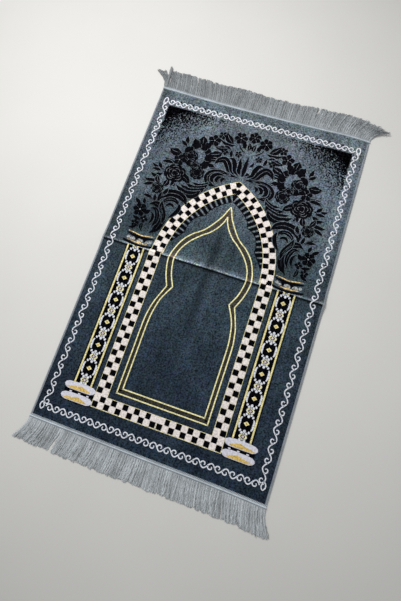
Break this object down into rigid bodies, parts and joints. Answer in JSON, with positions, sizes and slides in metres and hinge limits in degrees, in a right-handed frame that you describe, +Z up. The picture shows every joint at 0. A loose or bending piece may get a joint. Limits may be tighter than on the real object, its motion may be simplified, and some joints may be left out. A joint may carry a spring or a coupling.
{
  "type": "prayer rug",
  "caption": "Flat rectangular velvet prayer rug with a woven pointed arch, thread-wrapped side edges and a sewn-on fringe at each end, lying face up.",
  "frame": {"origin": "on the floor plane, under the middle of the rug with its fringes", "axes": "+X across the rug to the right as seen from the foot end, +Y along the rug to the head end that the arch points at, +Z up out of the pile"},
  "size_m": [0.7517, 1.2539, 0.0075],
  "materials": {
    "pile_velvet": "cut velvet pile in slate blue with a woven design in black, ivory and gold",
    "binding_thread": "light grey overlocked thread",
    "fringe_yarn": "matt grey twisted yarn"
  },
  "bodies": {
    "root": {"pile_cloth": "pile_velvet", "side_binding_left": "binding_thread", "side_binding_right": "binding_thread", "fringe_head": "fringe_yarn", "fringe_foot": "fringe_yarn"}
  },
  "joints": []
}
